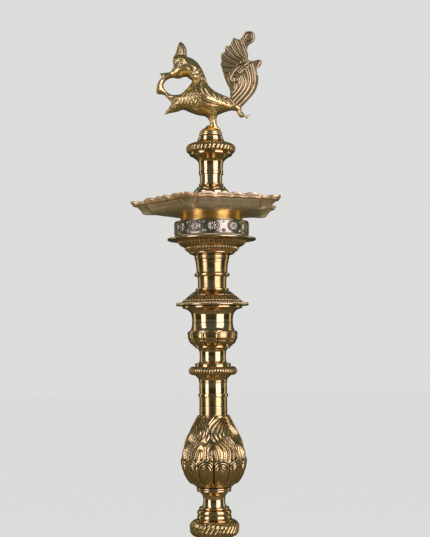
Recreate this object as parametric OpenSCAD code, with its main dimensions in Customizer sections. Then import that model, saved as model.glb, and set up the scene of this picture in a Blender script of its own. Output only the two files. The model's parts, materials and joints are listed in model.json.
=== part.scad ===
// Standing brass oil lamp: turned and cast sections on a flat round foot, screwed together on
// threaded studs, with a five-spouted oil dish and a peacock finial. The lamp's axis is Z, it
// stands on Z = 0, and the peacock faces -X.

/* [Screw joints] */
// Radius of the studs in the two lowest joints
heavy_stud_r = 10; // [8:0.5:12]
// Radius of the studs in the stem, cup and dish joints
stem_stud_r = 8; // [6:0.5:9]
// Radius of the stud under the peacock
bird_stud_r = 5; // [4:0.5:6]
// Length of a stem stud that screws into the section below
screw_len = 16; // [12:0.5:18]
// Length of a stem stud that stays in the section above
root_len = 12; // [8:0.5:14]
// Length of the peacock's stud that screws into the neck below
bird_screw_len = 10; // [8:0.5:14]
// Length of the peacock's stud that stays in its foot
bird_root_len = 8; // [6:0.5:9]
// Clearance all round between a stud and its hole
stud_clear = 0.05; // [0.03:0.01:0.1]
// Gap between the faces of two sections that are screwed home
seat_gap = 0.15; // [0.1:0.05:0.3]
// Extra depth of a tapped hole below the end of its stud
hole_spare = 1; // [0.5:0.5:3]

/* [Castings] */
// Wall of the hollow stem castings
wall = 3.5; // [2.5:0.5:5]
// Wall of the base castings
base_wall = 4; // [3:0.5:6]
// Width of the plain bands on the stem's small rings
fillet_h = 2; // [1.5:0.5:3]

/* [Base foot] */
// Radius of the foot on the floor
foot_r = 152; // [130:1:180]
// Height of the plain edge of the foot
foot_edge_h = 15; // [10:1:20]
// Height of the sloping step above the foot's edge
foot_slope_h = 14; // [10:1:20]
// Radius of the foot under its rope band
foot_step_r = 128; // [115:1:135]
// Height of the rope band on the foot
foot_rope_h = 20; // [14:1:26]
// How far the rope band stands out
foot_rope_out = 8; // [4:0.5:12]
// Height of the shoulder above the rope band
foot_shoulder_h = 24; // [16:1:30]

/* [Base bell] */
// Radius of the bell where it stands on the foot
bell_low_r = 112; // [95:1:120]
// Radius of the bell's waist
bell_top_r = 33; // [28:1:40]
// Height of the bell's sweep
bell_h = 144; // [115:1:175]
// How far the bell's sweep is hollowed in
bell_sweep = 22; // [10:1:26]
// Radius of the ring on top of the bell
bell_ring_r = 42; // [36:1:50]
// Height of the ring on top of the bell
bell_ring_h = 10; // [6:1:14]
// Height of the bell's neck
bell_neck_h = 24; // [16:1:30]

/* [Lower drum] */
// Radius of the drum's seat ring
drum_seat_r = 38; // [34:1:44]
// Height of the drum's seat ring
drum_seat_h = 8; // [5:0.5:12]
// Radius of the drum's lower neck
drum_neck_r = 27; // [24:1:32]
// Height of the drum's lower neck
drum_neck_h = 20; // [14:1:28]
// Radius of the beaded rim under the drum
drum_rim_r = 62; // [50:1:70]
// Height of the cone that widens to the beaded rim
drum_cone_h = 20; // [14:1:28]
// Height of the beaded rim
drum_rim_h = 5; // [4:0.5:8]
// Radius of the lotus drum
drum_r = 50; // [42:1:56]
// Height of the lotus drum
drum_h = 52; // [40:1:64]
// Height of the neck above the drum
drum_top_h = 44; // [36:1:60]

/* [Rope knop] */
// Radius of the knop's seat ring
knop_seat_r = 30; // [26:1:36]
// Height of the knop's seat ring
knop_seat_h = 26; // [20:1:32]
// Radius of the rope band
knop_rope_r = 39.7; // [34:0.1:46]
// Height of the rope band
knop_rope_h = 28; // [22:1:34]
// Radius of the middle step above the rope band
knop_step_r = 27.6; // [24:0.2:32]
// Height of each of the three steps
knop_step_h = 5.5; // [4:0.5:7]
// Radius of the waist
knop_waist_r = 18; // [16:0.5:22]
// Height of the waist
knop_waist_h = 19; // [14:1:24]
// Radius of the ring on top of the waist
knop_ring_r = 23.6; // [21:0.2:27]
// Height of the ring on top of the waist
knop_ring_h = 5; // [4:0.5:7]

/* [Pot] */
// Radius of the pot's foot rings
pot_ring_r = 28.4; // [25:0.2:32]
// Height of the pot's foot rings
pot_ring_h = 8; // [6:0.5:10]
// Radius of the pot at its petal edge
pot_r = 50.5; // [44:0.5:56]
// Height of the pot below its petal edge
pot_low_h = 41; // [34:1:48]
// Height of the pot above its petal edge
pot_high_h = 73; // [60:1:86]
// Radius of the pot's neck
pot_neck_r = 21.5; // [19:0.5:24]
// Height of the pot's neck
pot_neck_h = 27; // [20:1:34]

/* [Petal vase] */
// Radius of the seat ring under the petal vase
vase_seat_r = 23.3; // [21:0.1:26]
// Radius of the vase's lower neck
vase_neck_r = 22; // [19:0.5:24]
// Height of the vase's lower neck
vase_neck_h = 20; // [14:1:26]
// Radius of the rope disc
vase_rope_r = 38; // [32:0.5:44]
// Height of the rope disc
vase_rope_h = 13; // [9:0.5:17]
// Height of the bell that widens to the rope disc
vase_flare_h = 11; // [8:0.5:15]
// Radius of the small neck above the rope disc
vase_small_r = 20.8; // [18:0.2:24]
// Height of the small neck above the rope disc
vase_small_h = 26; // [20:1:32]
// Radius of the lotus petals
vase_petal_r = 41; // [36:0.5:46]
// Height of the lotus petals
vase_petal_h = 24; // [18:1:30]
// Radius of the vase above its petals
vase_r = 33.2; // [30:0.2:38]
// Height of the vase above its petals
vase_h = 37; // [30:1:44]
// Radius of the disc on top of the vase
vase_top_r = 47; // [42:0.5:52]
// Height of the disc on top of the vase
vase_top_h = 5; // [4:0.5:7]

/* [Column] */
// Radius of the beaded rim under the column
column_rim_r = 57.2; // [52:0.2:62]
// Height of the beaded rim
column_rim_h = 4; // [3:0.5:6]
// Height of the cone above the beaded rim
column_cone_h = 18; // [14:1:24]
// Radius of the column
column_r = 23; // [20:0.5:25]
// Height of the column below its ring
column_low_h = 27; // [20:1:34]
// Radius of the column's ring
column_ring_r = 27.2; // [25:0.2:31]
// Height of the column's ring
column_ring_h = 4; // [3:0.5:6]
// Radius of the column's top end
column_top_r = 26.5; // [24:0.5:30]
// Height of the column above its ring
column_high_h = 20; // [14:1:26]

/* [Drip cup] */
// Radius of the step under the cup
cup_step_r = 29; // [27:0.5:33]
// Height of the step under the cup
cup_step_h = 7; // [5:0.5:10]
// Radius of the cup's bowl at its foot
cup_low_r = 37; // [33:0.5:42]
// Radius of the cup's bowl under its flange
cup_high_r = 55.5; // [50:0.5:60]
// Height of the cup's bowl
cup_bowl_h = 22; // [16:0.5:28]
// Radius of the cup's flange
cup_flange_r = 70; // [64:0.5:76]
// Thickness of the cup's flange
cup_flange_h = 4; // [3:0.5:6]
// Radius of the cup's wall inside the collar
cup_wall_r = 54; // [50:0.5:56]
// Radius of the cup's middle boss
cup_boss_r = 16; // [13:0.5:20]
// Outer radius of the embossed collar
collar_r = 58.6; // [57:0.2:62]
// Height of the embossed collar
collar_h = 25.5; // [20:0.5:30]
// Clearance all round between the collar and the cup
collar_clear = 0.1; // [0.05:0.05:0.3]

/* [Oil dish] */
// Radius of the dish's foot ring
dish_foot_r = 51; // [47:0.5:54]
// Height of the dish's foot ring
dish_foot_h = 12; // [9:0.5:16]
// Wall of the dish and of its foot ring
dish_wall = 4; // [3:0.5:5]
// Radius of the dish's floor between the spouts
dish_floor_r = 80; // [72:1:86]
// Radius of the dish's floor under the five spouts
dish_floor_spout_r = 90; // [84:1:100]
// Reach of the five spouts
dish_spout_r = 127; // [112:1:138]
// Radius of the dish's rim between the spouts
dish_rim_r = 95; // [90:1:104]
// Height of the dish from its floor to its rim
dish_depth = 23; // [18:1:30]
// Radius of the boss in the middle of the dish
dish_boss_r = 22; // [18:0.5:26]

/* [Finial neck] */
// Radius of the neck's seat ring
neck_seat_r = 26.5; // [23:0.5:30]
// Height of the neck's seat ring
neck_seat_h = 12; // [8:0.5:16]
// Radius of the finial neck
neck_r = 18; // [15.5:0.5:21]
// Height of the neck from its seat ring to its flare
neck_h = 45.5; // [38:0.5:54]
// Radius of the neck's middle ring
neck_ring_r = 19.4; // [18:0.2:23]
// Height of the flare under the rope disc
neck_flare_h = 14; // [10:0.5:18]
// Radius of the flare's edge
neck_flare_r = 32.4; // [28:0.2:36]
// Height of the flare's edge
neck_edge_h = 5; // [3:0.5:7]
// Radius of the rope disc
neck_rope_r = 38.5; // [34:0.5:44]
// Height of the rope disc
neck_rope_h = 14; // [10:0.5:18]
// Height of the cone above the rope disc
neck_cone_h = 6; // [4:0.5:9]
// Radius of the top ring
neck_top_r = 19.3; // [17:0.1:22]
// Height of the top ring
neck_top_h = 5.6; // [4:0.2:8]

/* [Peacock] */
// Radius of the domed foot
bird_foot_r = 17.8; // [16:0.2:20]
// Height of the domed foot
bird_foot_h = 15; // [12:0.5:18]
// Radius of the leg
leg_r = 4.6; // [4:0.2:6]
// Height of the belly above the foot's seat
belly_z = 32; // [28:0.5:38]
// Half the body's width
body_half_w = 19; // [15:0.5:22]
// Thickness of the crest and of the creeper
trim_t = 6; // [4:0.5:8]
// Thickness of the tail plate
tail_t = 5; // [4:0.5:7]
// Clearance each side of the tail in its slot
tail_clear = 0.1; // [0.05:0.05:0.3]
// Radius of the rivet through the tail
tail_pin_r = 1.6; // [1.2:0.1:2]
// Clearance round the rivet
pin_clear = 0.05; // [0.03:0.01:0.1]

/* [Hidden] */

round_fn = 96;
spouts = 5;

// A turned outline is a list of bands from the bottom up, each [lower radius, upper radius,
// height].
function tall(bands, i = 0) = i < len(bands) ? bands[i][2] + tall(bands, i + 1) : 0;
function foot_of(bands, k) = k > 0 ? bands[k - 1][2] + foot_of(bands, k - 1) : 0;
function inset(bands, t) = [for (b = bands) [b[0] - t, b[1] - t, b[2]]];

// Radius part of the way up a band that swells out (or is hollowed in) by bulge
function swell_r(r0, r1, bulge, t) = r0 + (r1 - r0) * t + bulge * sin(180 * t);
function swell(r0, r1, bulge, h, n = 8) =
    [for (i = [0 : n - 1])
        [swell_r(r0, r1, bulge, i / n), swell_r(r0, r1, bulge, (i + 1) / n), h / n]];

function outline(bands) = concat(
    [[0, 0]],
    [for (k = [0 : len(bands) - 1])
        each [[bands[k][0], foot_of(bands, k)], [bands[k][1], foot_of(bands, k + 1)]]],
    [[0, tall(bands)]]);

module turned(bands, z = 0) translate([0, 0, z])
    rotate_extrude($fn = round_fn) polygon(outline(bands));

// A round hole that ends at the height top, and is depth deep
module bore(r, depth, top) translate([0, 0, top - depth])
    cylinder(r = r, h = depth + 0.01, $fn = round_fn);

module stud(r, low, high, z) translate([0, 0, z - low])
    cylinder(r = r, h = low + high, $fn = round_fn);

// Hole in the top of a section for the stud above it
module tapped_hole(r, len, top) bore(r + stud_clear, len + hole_spare, top + 0.01);

// Hole in the underside of a section for its own stud
module root_hole(r, len) translate([0, 0, -0.01])
    cylinder(r = r + stud_clear, h = len + 0.01 + hole_spare / 2, $fn = round_fn);

// Hollow of a casting whose outline starts at the height z, kept between two heights
module core(bands, z, low, high)
    intersection() {
        turned(inset(bands, wall), z);
        translate([0, 0, low]) cylinder(r = foot_r, h = high - low, $fn = round_fn);
    }

// ---- outlines of the sections ----
foot_bands = concat(
    [[foot_r, foot_r, foot_edge_h]],
    swell(foot_r - 4, foot_step_r, -3, foot_slope_h, 4),
    swell(foot_step_r, foot_step_r, foot_rope_out, foot_rope_h),
    swell(foot_step_r, bell_low_r + base_wall, -2, foot_shoulder_h, 4));
bell_bands = swell(bell_low_r, bell_top_r, -bell_sweep, bell_h, 12);
bell_top_bands = [
    [bell_ring_r, bell_ring_r, bell_ring_h],
    [bell_top_r, bell_top_r - 2, bell_neck_h / 2],
    [bell_top_r - 2, bell_top_r + 1, bell_neck_h / 2]];
drum_foot_bands = concat(
    [[drum_seat_r, drum_seat_r, drum_seat_h]],
    swell(drum_neck_r + 3, drum_neck_r, 0, drum_neck_h, 2),
    swell(drum_neck_r, drum_rim_r - 2, -4, drum_cone_h, 5),
    [[drum_rim_r, drum_rim_r, drum_rim_h]]);
drum_bands = swell(drum_r - 6, drum_neck_r + 4, 12, drum_h, 8);
drum_top_bands = concat(
    [[drum_neck_r + 6, drum_neck_r + 6, fillet_h]],
    swell(drum_neck_r, drum_neck_r, -1.5, drum_top_h - fillet_h, 4));
knop_foot_bands = [
    [knop_seat_r + 2, knop_seat_r + 2, fillet_h],
    [knop_seat_r, knop_seat_r, knop_seat_h - fillet_h]];
knop_rope_bands = swell(knop_rope_r - 7, knop_rope_r - 7, 7, knop_rope_h, 6);
knop_top_bands = concat(
    [[knop_step_r + 1.4, knop_step_r + 1.4, knop_step_h],
     [knop_step_r, knop_step_r - 1, knop_step_h],
     [knop_step_r - 3.6, knop_step_r - 5, knop_step_h]],
    swell(knop_waist_r + 1.5, knop_waist_r + 1.5, -1.5, knop_waist_h, 4),
    [[knop_ring_r, knop_ring_r, knop_ring_h]]);
pot_foot_bands = [
    [pot_ring_r - 1, pot_ring_r, pot_ring_h / 2],
    [pot_ring_r + 1, pot_ring_r + 1, pot_ring_h / 2]];
pot_bands = concat(
    swell(pot_ring_r + 2, pot_r, 5, pot_low_h, 8),
    swell(pot_r, pot_neck_r + 2, 6, pot_high_h, 12));
pot_neck_bands = [[pot_neck_r, pot_neck_r, pot_neck_h]];
vase_foot_bands = concat(
    [[vase_seat_r, vase_seat_r, fillet_h * 2.5]],
    swell(vase_neck_r, vase_neck_r, 0.4, vase_neck_h, 2),
    swell(vase_neck_r, vase_rope_r - 6, -2.5, vase_flare_h, 5),
    swell(vase_rope_r - 3.5, vase_rope_r - 3.5, 3.5, vase_rope_h, 6),
    swell(vase_small_r + 6, vase_small_r, -1, vase_small_h / 3, 3),
    [[vase_small_r, vase_small_r, vase_small_h * 2 / 3]],
    [[vase_small_r + 3, vase_small_r + 3, fillet_h]]);
vase_bands = concat(
    swell(vase_r - 4, vase_petal_r, 3, vase_petal_h * 2 / 3, 5),
    swell(vase_petal_r, vase_r, -1, vase_petal_h / 3, 3),
    swell(vase_r, vase_r + 3, -1.5, vase_h, 4));
vase_top_bands = [[vase_top_r - 1, vase_top_r, vase_top_h]];
column_foot_bands = concat(
    [[column_rim_r, column_rim_r, column_rim_h]],
    swell(column_rim_r - 3, column_r + 4, -2, column_cone_h, 5));
column_bands = concat(
    [[column_r + 2, column_r + 2, fillet_h * 2]],
    swell(column_r, column_r, -0.6, column_low_h - fillet_h * 2, 3),
    [[column_ring_r, column_ring_r, column_ring_h]],
    swell(column_r + 1, column_top_r, -0.5, column_high_h, 3));
cup_thick = wall * 1.5;
cup_foot_bands = [[cup_step_r, cup_step_r, cup_step_h]];
cup_bands = swell(cup_low_r, cup_high_r, 1.5, cup_bowl_h, 6);
cup_top_bands = [
    [cup_flange_r - 1, cup_flange_r, cup_flange_h / 2],
    [cup_flange_r, cup_flange_r - 1.5, cup_flange_h / 2]];
cup_wall_bands = [[cup_wall_r, cup_wall_r, collar_h + collar_clear]];
neck_bands = concat(
    [[neck_seat_r, neck_seat_r, neck_seat_h * 2 / 3],
     [neck_seat_r - 3, neck_r + 4, neck_seat_h / 3]],
    swell(neck_r + 2, neck_r, -0.5, neck_h * 0.2, 3),
    [[neck_r + 0.6, neck_r + 0.6, neck_h * 0.1],
     [neck_r, neck_r, neck_h * 0.3],
     [neck_ring_r, neck_ring_r, neck_h * 0.18],
     [neck_r, neck_r, neck_h * 0.22]],
    swell(neck_r, neck_flare_r - 2, -2.5, neck_flare_h, 6),
    [[neck_flare_r, neck_flare_r, neck_edge_h]],
    swell(neck_rope_r - 4, neck_rope_r - 4, 4, neck_rope_h, 6),
    swell(neck_rope_r - 8, neck_top_r, -1.5, neck_cone_h, 3),
    [[neck_top_r, neck_top_r, neck_top_h]]);
bird_foot_bands = concat(
    swell(bird_foot_r, bird_foot_r - 4, 1, bird_foot_h * 0.55, 4),
    swell(bird_foot_r - 4, leg_r + 1, -1.5, bird_foot_h * 0.45, 4),
    swell(leg_r + 1, leg_r + 3, -1.6, belly_z - bird_foot_h + 4, 5));

// ---- heights of the sections above the floor ----
bell_z = tall(foot_bands);
bell_top_z = bell_z + bell_h;
drum_z = bell_top_z + tall(bell_top_bands) + seat_gap;
drum_body_z = drum_z + tall(drum_foot_bands);
knop_z = drum_body_z + drum_h + tall(drum_top_bands) + seat_gap;
knop_rope_z = knop_z + knop_seat_h;
pot_z = knop_rope_z + knop_rope_h + tall(knop_top_bands) + seat_gap;
pot_body_z = pot_z + pot_ring_h;
vase_z = pot_body_z + tall(pot_bands) + pot_neck_h + seat_gap;
vase_body_z = vase_z + tall(vase_foot_bands);
column_z = vase_body_z + tall(vase_bands) + vase_top_h + seat_gap;
column_body_z = column_z + tall(column_foot_bands);
cup_z = column_body_z + tall(column_bands) + seat_gap;
collar_z = cup_z + cup_step_h + cup_bowl_h + cup_flange_h + collar_clear;
dish_z = collar_z + collar_h + seat_gap;
dish_boss_h = dish_foot_h + dish_depth - 2;
neck_z = dish_z + dish_boss_h + seat_gap;
bird_z = neck_z + tall(neck_bands) + seat_gap;

// ---- base ----
module base_foot() color("darkgoldenrod")
    difference() {
        turned(foot_bands);
        turned(inset(foot_bands, base_wall * 2), -0.01);
        bore(bell_low_r - base_wall * 2, base_wall * 3, bell_z + 1);
    }

module base_bell() color("goldenrod")
    translate([0, 0, bell_z])
    difference() {
        union() {
            turned(bell_bands);
            turned(bell_top_bands, bell_h);
        }
        translate([0, 0, -0.01]) turned(inset(bell_bands, base_wall));
        tapped_hole(heavy_stud_r, screw_len, bell_h + tall(bell_top_bands));
    }

// ---- stem ----
module lower_drum() color("gold")
    translate([0, 0, drum_z])
    difference() {
        union() {
            turned(drum_foot_bands);
            turned(drum_bands, tall(drum_foot_bands));
            turned(drum_top_bands, tall(drum_foot_bands) + drum_h);
        }
        core(drum_bands, tall(drum_foot_bands), tall(drum_foot_bands),
            tall(drum_foot_bands) + drum_h - wall);
        root_hole(heavy_stud_r, root_len);
        bore(heavy_stud_r + stud_clear, drum_top_h + wall * 3, knop_z - seat_gap - drum_z);
    }

module rope_knop() color("goldenrod")
    translate([0, 0, knop_z])
    difference() {
        union() {
            turned(knop_foot_bands);
            turned(knop_rope_bands, knop_seat_h);
            turned(knop_top_bands, knop_seat_h + knop_rope_h);
        }
        turned(inset(knop_rope_bands, wall * 2), knop_seat_h);
        root_hole(heavy_stud_r, root_len);
        bore(stem_stud_r + stud_clear, tall(knop_top_bands) + 1, pot_z - seat_gap - knop_z);
    }

module pot() color("gold")
    translate([0, 0, pot_z])
    difference() {
        union() {
            turned(pot_foot_bands);
            turned(pot_bands, pot_ring_h);
            turned(pot_neck_bands, pot_ring_h + tall(pot_bands));
        }
        core(pot_bands, pot_ring_h, root_len + wall * 1.5, pot_ring_h + tall(pot_bands));
        root_hole(stem_stud_r, root_len);
        bore(stem_stud_r + stud_clear, pot_neck_h + wall, vase_z - seat_gap - pot_z);
    }

module petal_vase() color("goldenrod")
    translate([0, 0, vase_z])
    difference() {
        union() {
            turned(vase_foot_bands);
            turned(vase_bands, tall(vase_foot_bands));
            turned(vase_top_bands, tall(vase_foot_bands) + tall(vase_bands));
        }
        core(vase_bands, tall(vase_foot_bands), tall(vase_foot_bands) + wall,
            column_z - seat_gap - vase_z - screw_len - wall);
        root_hole(stem_stud_r, root_len);
        tapped_hole(stem_stud_r, screw_len + wall * 2, column_z - seat_gap - vase_z);
    }

module column() color("gold")
    translate([0, 0, column_z])
    difference() {
        union() {
            turned(column_foot_bands);
            turned(column_bands, tall(column_foot_bands));
        }
        root_hole(stem_stud_r, root_len);
        tapped_hole(stem_stud_r, screw_len, cup_z - seat_gap - column_z);
    }

// ---- cup, collar and dish ----
module drip_cup() color("goldenrod")
    translate([0, 0, cup_z])
    difference() {
        union() {
            turned(cup_foot_bands);
            turned(cup_bands, cup_step_h);
            turned(cup_top_bands, cup_step_h + cup_bowl_h);
            turned(cup_wall_bands, cup_step_h + cup_bowl_h + cup_flange_h);
        }
        difference() {
            union() {
                intersection() {
                    turned(inset(cup_bands, cup_thick), cup_step_h + root_len / 2);
                    cylinder(r = cup_wall_r - wall, h = dish_z - cup_z, $fn = round_fn);
                }
                translate([0, 0, cup_step_h + cup_bowl_h])
                    cylinder(r = cup_wall_r - cup_thick, h = cup_flange_h + collar_h + wall,
                        $fn = round_fn);
            }
            cylinder(r = cup_boss_r, h = dish_z - cup_z, $fn = round_fn);
        }
        root_hole(stem_stud_r, root_len);
        tapped_hole(stem_stud_r, screw_len, dish_z - seat_gap - cup_z);
    }

module embossed_collar() color("silver")
    translate([0, 0, collar_z])
    difference() {
        cylinder(r = collar_r, h = collar_h - collar_clear, $fn = round_fn);
        translate([0, 0, -1]) cylinder(r = cup_wall_r + collar_clear, h = collar_h + 2, $fn = round_fn);
    }

// The dish is lobed: how much of a spout there is at each angle, 1 at a spout's tip
function spout(a) = pow((1 + cos(spouts * a)) / 2, 4);
function lobe(r_mid, r_tip, a) = r_mid + (r_tip - r_mid) * spout(a);
dish_steps = 90;
function dish_level(r_mid, r_tip, z) = [for (i = [0 : dish_steps - 1])
    let (a = 360 * i / dish_steps, r = lobe(r_mid, r_tip, a - 180))
    [r * cos(a), r * sin(a), z]];
dish_lip = 5;
dish_levels = [
    dish_level(dish_floor_r, dish_floor_spout_r, 0),
    dish_level(dish_rim_r - dish_lip / 2, dish_spout_r - dish_lip, dish_depth - dish_lip),
    dish_level(dish_rim_r, dish_spout_r, dish_depth),
    dish_level(dish_rim_r - dish_wall, dish_spout_r - dish_wall, dish_depth),
    dish_level(dish_rim_r - dish_wall - dish_lip / 2, dish_spout_r - dish_wall - dish_lip,
        dish_depth - dish_lip),
    dish_level(dish_floor_r - dish_wall, dish_floor_spout_r - dish_wall, dish_wall)];

module dish_shell()
    polyhedron(
        points = [for (level = dish_levels) each level],
        faces = concat(
            [[for (i = [0 : dish_steps - 1]) i]],
            [[for (i = [0 : dish_steps - 1]) len(dish_levels) * dish_steps - 1 - i]],
            [for (k = [0 : len(dish_levels) - 2], i = [0 : dish_steps - 1])
                let (j = (i + 1) % dish_steps)
                [k * dish_steps + j, k * dish_steps + i,
                 (k + 1) * dish_steps + i, (k + 1) * dish_steps + j]]));

module oil_dish() color("darkkhaki")
    translate([0, 0, dish_z])
    difference() {
        union() {
            difference() {
                cylinder(r = dish_foot_r, h = dish_foot_h + 0.5, $fn = round_fn);
                translate([0, 0, -1])
                    cylinder(r = dish_foot_r - dish_wall, h = dish_foot_h + 2, $fn = round_fn);
            }
            cylinder(r = dish_boss_r, h = dish_boss_h, $fn = round_fn);
            translate([0, 0, dish_foot_h]) dish_shell();
        }
        root_hole(stem_stud_r, root_len);
        tapped_hole(stem_stud_r, screw_len, dish_boss_h);
    }

// ---- finial ----
module finial_neck() color("goldenrod")
    translate([0, 0, neck_z])
    difference() {
        turned(neck_bands);
        root_hole(stem_stud_r, root_len);
        tapped_hole(bird_stud_r, bird_screw_len, tall(neck_bands));
    }

// Places along the peacock, from its leg's axis and its foot's seat: [x, z]
chest = [-34, belly_z + 20];
back = [0, belly_z + 20];
rump = [32, belly_z + 16];
breast = [-22, belly_z + 42];
throat = [-20, belly_z + 64];
head = [-41, belly_z + 81];
beak_root = [-58, belly_z + 73];
beak_tip = [-77, belly_z + 68];

module ball(p, r, half_w) translate([p[0], 0, p[1]]) scale([1, half_w / r, 1]) sphere(r = r, $fn = 24);

module peacock_trunk() {
    hull() {
        ball(chest, 17, body_half_w);
        ball(back, 17, body_half_w);
    }
    hull() {
        ball(back, 17, body_half_w);
        ball(rump, 8, body_half_w * 0.5);
    }
    hull() {
        ball(chest + [8, 0], 15, body_half_w * 0.8);
        ball(breast, 13, body_half_w * 0.65);
    }
    hull() {
        ball(breast, 13, body_half_w * 0.65);
        ball(throat, 8, body_half_w * 0.45);
    }
    hull() {
        ball(throat, 8, body_half_w * 0.45);
        ball(head, 11, body_half_w * 0.5);
    }
    hull() {
        ball(head, 9, body_half_w * 0.4);
        ball(beak_tip, 2.5, 2.5);
    }
}

// Creeper from the beak down to the chest, and the breast leaf, as a flat curling band
function creeper_edge(out) = [for (t = [0 : 0.1 : 1])
    let (a = 100 + 170 * t)
    [-58 + (24 + out) * cos(a) * (1 - 0.25 * t), belly_z + 45 + (25 + out) * sin(a)]];

module creeper()
    rotate([90, 0, 0]) linear_extrude(height = trim_t, center = true)
        polygon(concat(creeper_edge(3), [for (i = [10 : -1 : 0]) creeper_edge(-3)[i]]));

module breast_leaf()
    rotate([90, 0, 0]) linear_extrude(height = trim_t, center = true)
        polygon([[-74, belly_z + 4], [-46, belly_z + 8], [-40, belly_z + 22], [-58, belly_z + 22],
                 [-64, belly_z + 12]]);

module crest()
    rotate([90, 0, 0]) linear_extrude(height = trim_t, center = true)
        polygon([[-58, belly_z + 86], [-54, belly_z + 100], [-49, belly_z + 116.5],
                 [-41, belly_z + 112], [-37.5, belly_z + 102], [-37, belly_z + 88]]);

// Tail plate, in the upright plane through the axis
tail_root = [28, belly_z + 14];
tail_points = [
    [26, 10], [58, 2], [62, 6], [54, 12], [50, 16], [62, 24], [70, 36], [74, 50], [75.5, 61],
    [72, 71], [79, 80], [81.5, 84], [77, 88], [68, 87], [59, 88], [57, 106], [63, 112],
    [69, 120], [71, 125], [68, 131], [62, 132.4], [55, 130], [46, 121], [36, 121], [34, 111],
    [26, 110], [23, 101], [15.5, 97], [15, 80], [22, 58], [32, 40], [30, 30], [24, 24]];

module tail_plate(t, grow = 0)
    rotate([90, 0, 0]) linear_extrude(height = t, center = true)
        polygon([for (p = tail_points) [p[0] + grow, p[1] + belly_z]]);

module pin_bar(r, half) translate([tail_root[0] + 6, 0, tail_root[1] + 4])
    rotate([90, 0, 0]) cylinder(r = r, h = 2 * half, center = true, $fn = 32);

module peacock() color("peru")
    translate([0, 0, bird_z])
    difference() {
        union() {
            turned(bird_foot_bands);
            peacock_trunk();
            creeper();
            breast_leaf();
            crest();
        }
        root_hole(bird_stud_r, bird_root_len);
        translate([22, -tail_t / 2 - tail_clear, -1])
            cube([60, tail_t + 2 * tail_clear, belly_z + 80]);
        pin_bar(tail_pin_r + pin_clear, 30);
    }

module peacock_tail() color("darkkhaki")
    translate([0, 0, bird_z])
    difference() {
        tail_plate(tail_t);
        pin_bar(tail_pin_r + pin_clear, 30);
    }

module tail_pin() color("goldenrod")
    translate([0, 0, bird_z]) pin_bar(tail_pin_r, 8);

// ---- studs ----
module drum_stud() color("khaki") stud(heavy_stud_r, screw_len + seat_gap, root_len, drum_z);
module knop_stud() color("khaki") stud(heavy_stud_r, screw_len + seat_gap, root_len, knop_z);
module pot_stud() color("khaki") stud(stem_stud_r, screw_len + seat_gap, root_len, pot_z);
module vase_stud() color("khaki") stud(stem_stud_r, screw_len + seat_gap, root_len, vase_z);
module column_stud() color("khaki") stud(stem_stud_r, screw_len + seat_gap, root_len, column_z);
module cup_stud() color("khaki") stud(stem_stud_r, screw_len + seat_gap, root_len, cup_z);
module dish_stud() color("khaki") stud(stem_stud_r, screw_len + seat_gap, root_len, dish_z);
module neck_stud() color("khaki") stud(stem_stud_r, screw_len + seat_gap, root_len, neck_z);
module peacock_stud() color("khaki")
    stud(bird_stud_r, bird_screw_len + seat_gap, bird_root_len, bird_z);

base_foot();
base_bell();
drum_stud();
lower_drum();
knop_stud();
rope_knop();
pot_stud();
pot();
vase_stud();
petal_vase();
column_stud();
column();
cup_stud();
drip_cup();
embossed_collar();
dish_stud();
oil_dish();
neck_stud();
finial_neck();
peacock_stud();
peacock();
peacock_tail();
tail_pin();
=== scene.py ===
import bpy
import json
import math
import numpy as np
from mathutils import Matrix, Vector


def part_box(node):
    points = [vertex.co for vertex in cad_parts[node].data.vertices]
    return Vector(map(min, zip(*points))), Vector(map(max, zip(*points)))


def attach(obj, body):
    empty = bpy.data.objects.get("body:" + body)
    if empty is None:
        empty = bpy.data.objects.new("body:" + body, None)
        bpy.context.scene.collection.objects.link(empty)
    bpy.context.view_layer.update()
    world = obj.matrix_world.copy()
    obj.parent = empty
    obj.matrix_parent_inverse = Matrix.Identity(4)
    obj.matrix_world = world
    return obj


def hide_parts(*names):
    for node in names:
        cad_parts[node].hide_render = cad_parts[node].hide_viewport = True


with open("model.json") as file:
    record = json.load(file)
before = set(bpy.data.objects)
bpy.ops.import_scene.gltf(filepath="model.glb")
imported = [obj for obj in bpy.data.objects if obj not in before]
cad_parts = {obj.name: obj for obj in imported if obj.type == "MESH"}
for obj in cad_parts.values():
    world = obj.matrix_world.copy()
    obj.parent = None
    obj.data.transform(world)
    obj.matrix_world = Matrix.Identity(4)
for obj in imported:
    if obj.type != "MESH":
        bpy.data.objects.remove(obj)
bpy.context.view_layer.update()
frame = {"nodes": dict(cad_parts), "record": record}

MM = 0.001
TAU = 2 * math.pi
FRONT = -math.pi / 2          # the side of the lamp that faces the camera
SEAT_GAP = 0.15               # clear height between one section and the next, in millimetres
STEM_BORE = 8.2               # bores round the studs, as radii in millimetres
HEAVY_BORE = 10.2
BIRD_BORE = 5.2


# ---- places
def base_of(node):
    """Height of a node's underside, in millimetres."""
    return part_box(node)[0][2] / MM


# ---- mesh tools
def deselect():
    if bpy.context.object and bpy.context.object.mode != "OBJECT":
        bpy.ops.object.mode_set(mode="OBJECT")
    bpy.ops.object.select_all(action="DESELECT")


def pick(*objects):
    deselect()
    for obj in objects:
        obj.select_set(True)
    bpy.context.view_layer.objects.active = objects[0]


def settle(obj):
    """Bring a piece's place into its mesh, so that its object sits at the origin."""
    pick(obj)
    bpy.ops.object.transform_apply(location=True, rotation=True, scale=True)


def join(name, pieces):
    pick(*pieces)
    bpy.ops.object.join()
    obj = bpy.context.object
    obj.name = name
    obj.data.name = name
    return obj


def finish_modifiers(obj):
    pick(obj)
    for modifier in list(obj.modifiers):
        bpy.ops.object.modifier_apply(modifier=modifier.name)


def smooth(obj, angle=35):
    pick(obj)
    bpy.ops.object.shade_smooth_by_angle(angle=math.radians(angle))


def points_of(obj):
    values = np.empty(len(obj.data.vertices) * 3)
    obj.data.vertices.foreach_get("co", values)
    return values.reshape(-1, 3)


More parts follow.
